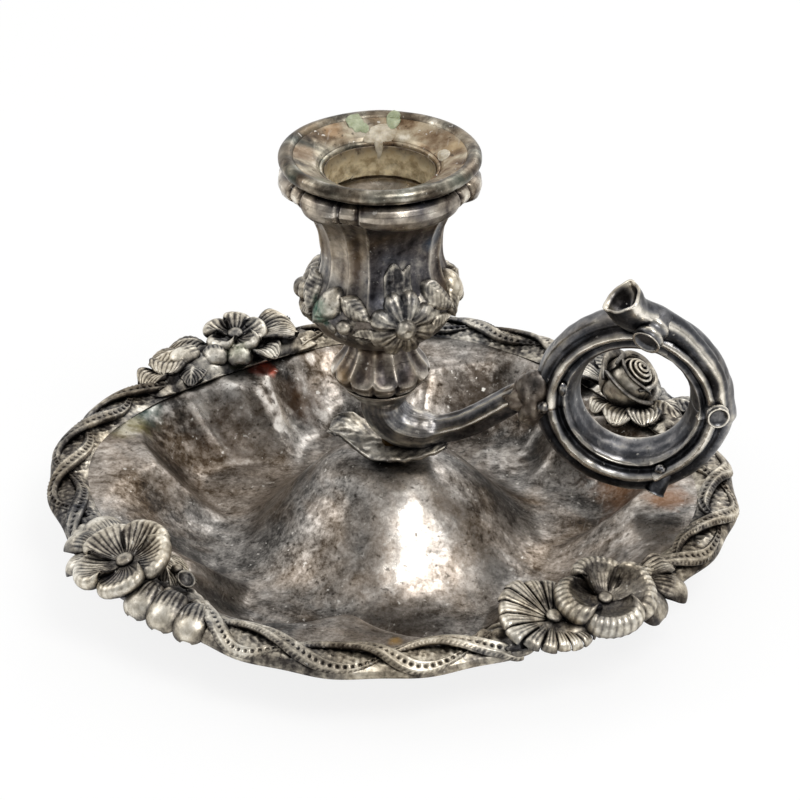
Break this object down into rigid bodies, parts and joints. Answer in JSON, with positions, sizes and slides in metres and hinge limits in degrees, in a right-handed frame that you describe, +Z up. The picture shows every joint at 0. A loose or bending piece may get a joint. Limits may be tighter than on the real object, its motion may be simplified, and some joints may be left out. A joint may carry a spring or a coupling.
{
  "type": "chamberstick",
  "caption": "Tarnished silver chamberstick: lobed drip pan with vine border and bouquets, fluted candle socket on an elbow branch, finger-ring handle, lift-out nozzle.",
  "frame": {"origin": "on the table under the middle of the drip pan", "axes": "+Z up along the candle, +X towards the finger ring, -Y towards the front border"},
  "size_m": [0.152, 0.152, 0.0933],
  "materials": {
    "pan_silver": "raised silver sheet, mottled brown-grey tarnish with rubbed grey patches",
    "ornament_silver": "cast silver, black in the recesses and rubbed bright on the high spots",
    "handle_silver": "cast silver with blue-black tarnish and bright worn edges",
    "socket_silver": "stamped silver, brown-grey tarnish with polished flutes",
    "nozzle_silver": "spun silver, tan and brown tarnish with old candle wax",
    "solder": "dull lumpy soft solder",
    "screw_brass": "dull turned brass"
  },
  "bodies": {
    "stand": {"drip_pan": "pan_silver", "vine_border_handle": "ornament_silver", "vine_border_back": "ornament_silver", "vine_border_left": "ornament_silver", "vine_border_front": "ornament_silver", "bouquet_back_handle": "ornament_silver", "bouquet_back_left": "ornament_silver", "bouquet_front_left": "ornament_silver", "bouquet_front_handle": "ornament_silver", "handle_branch": "handle_silver", "bract_leaf": "handle_silver", "ring_handle": "handle_silver", "solder_joint": "solder", "pan_stud": "screw_brass", "pan_washer": "screw_brass", "pan_nut": "screw_brass", "socket_saucer": "socket_silver", "socket_knop": "socket_silver", "socket_body": "socket_silver", "socket_collar": "socket_silver", "socket_stud": "screw_brass", "garland_spray_1": "ornament_silver", "garland_spray_2": "ornament_silver", "garland_spray_3": "ornament_silver"},
    "nozzle": {"nozzle_flange": "nozzle_silver", "nozzle_sleeve": "nozzle_silver", "nozzle_edge_wire": "nozzle_silver"}
  },
  "joints": [
    {"name": "nozzle_lift", "type": "slide", "parent": "stand", "child": "nozzle", "axis": [0, 0, 1], "range_m": [0, 0.03]}
  ]
}
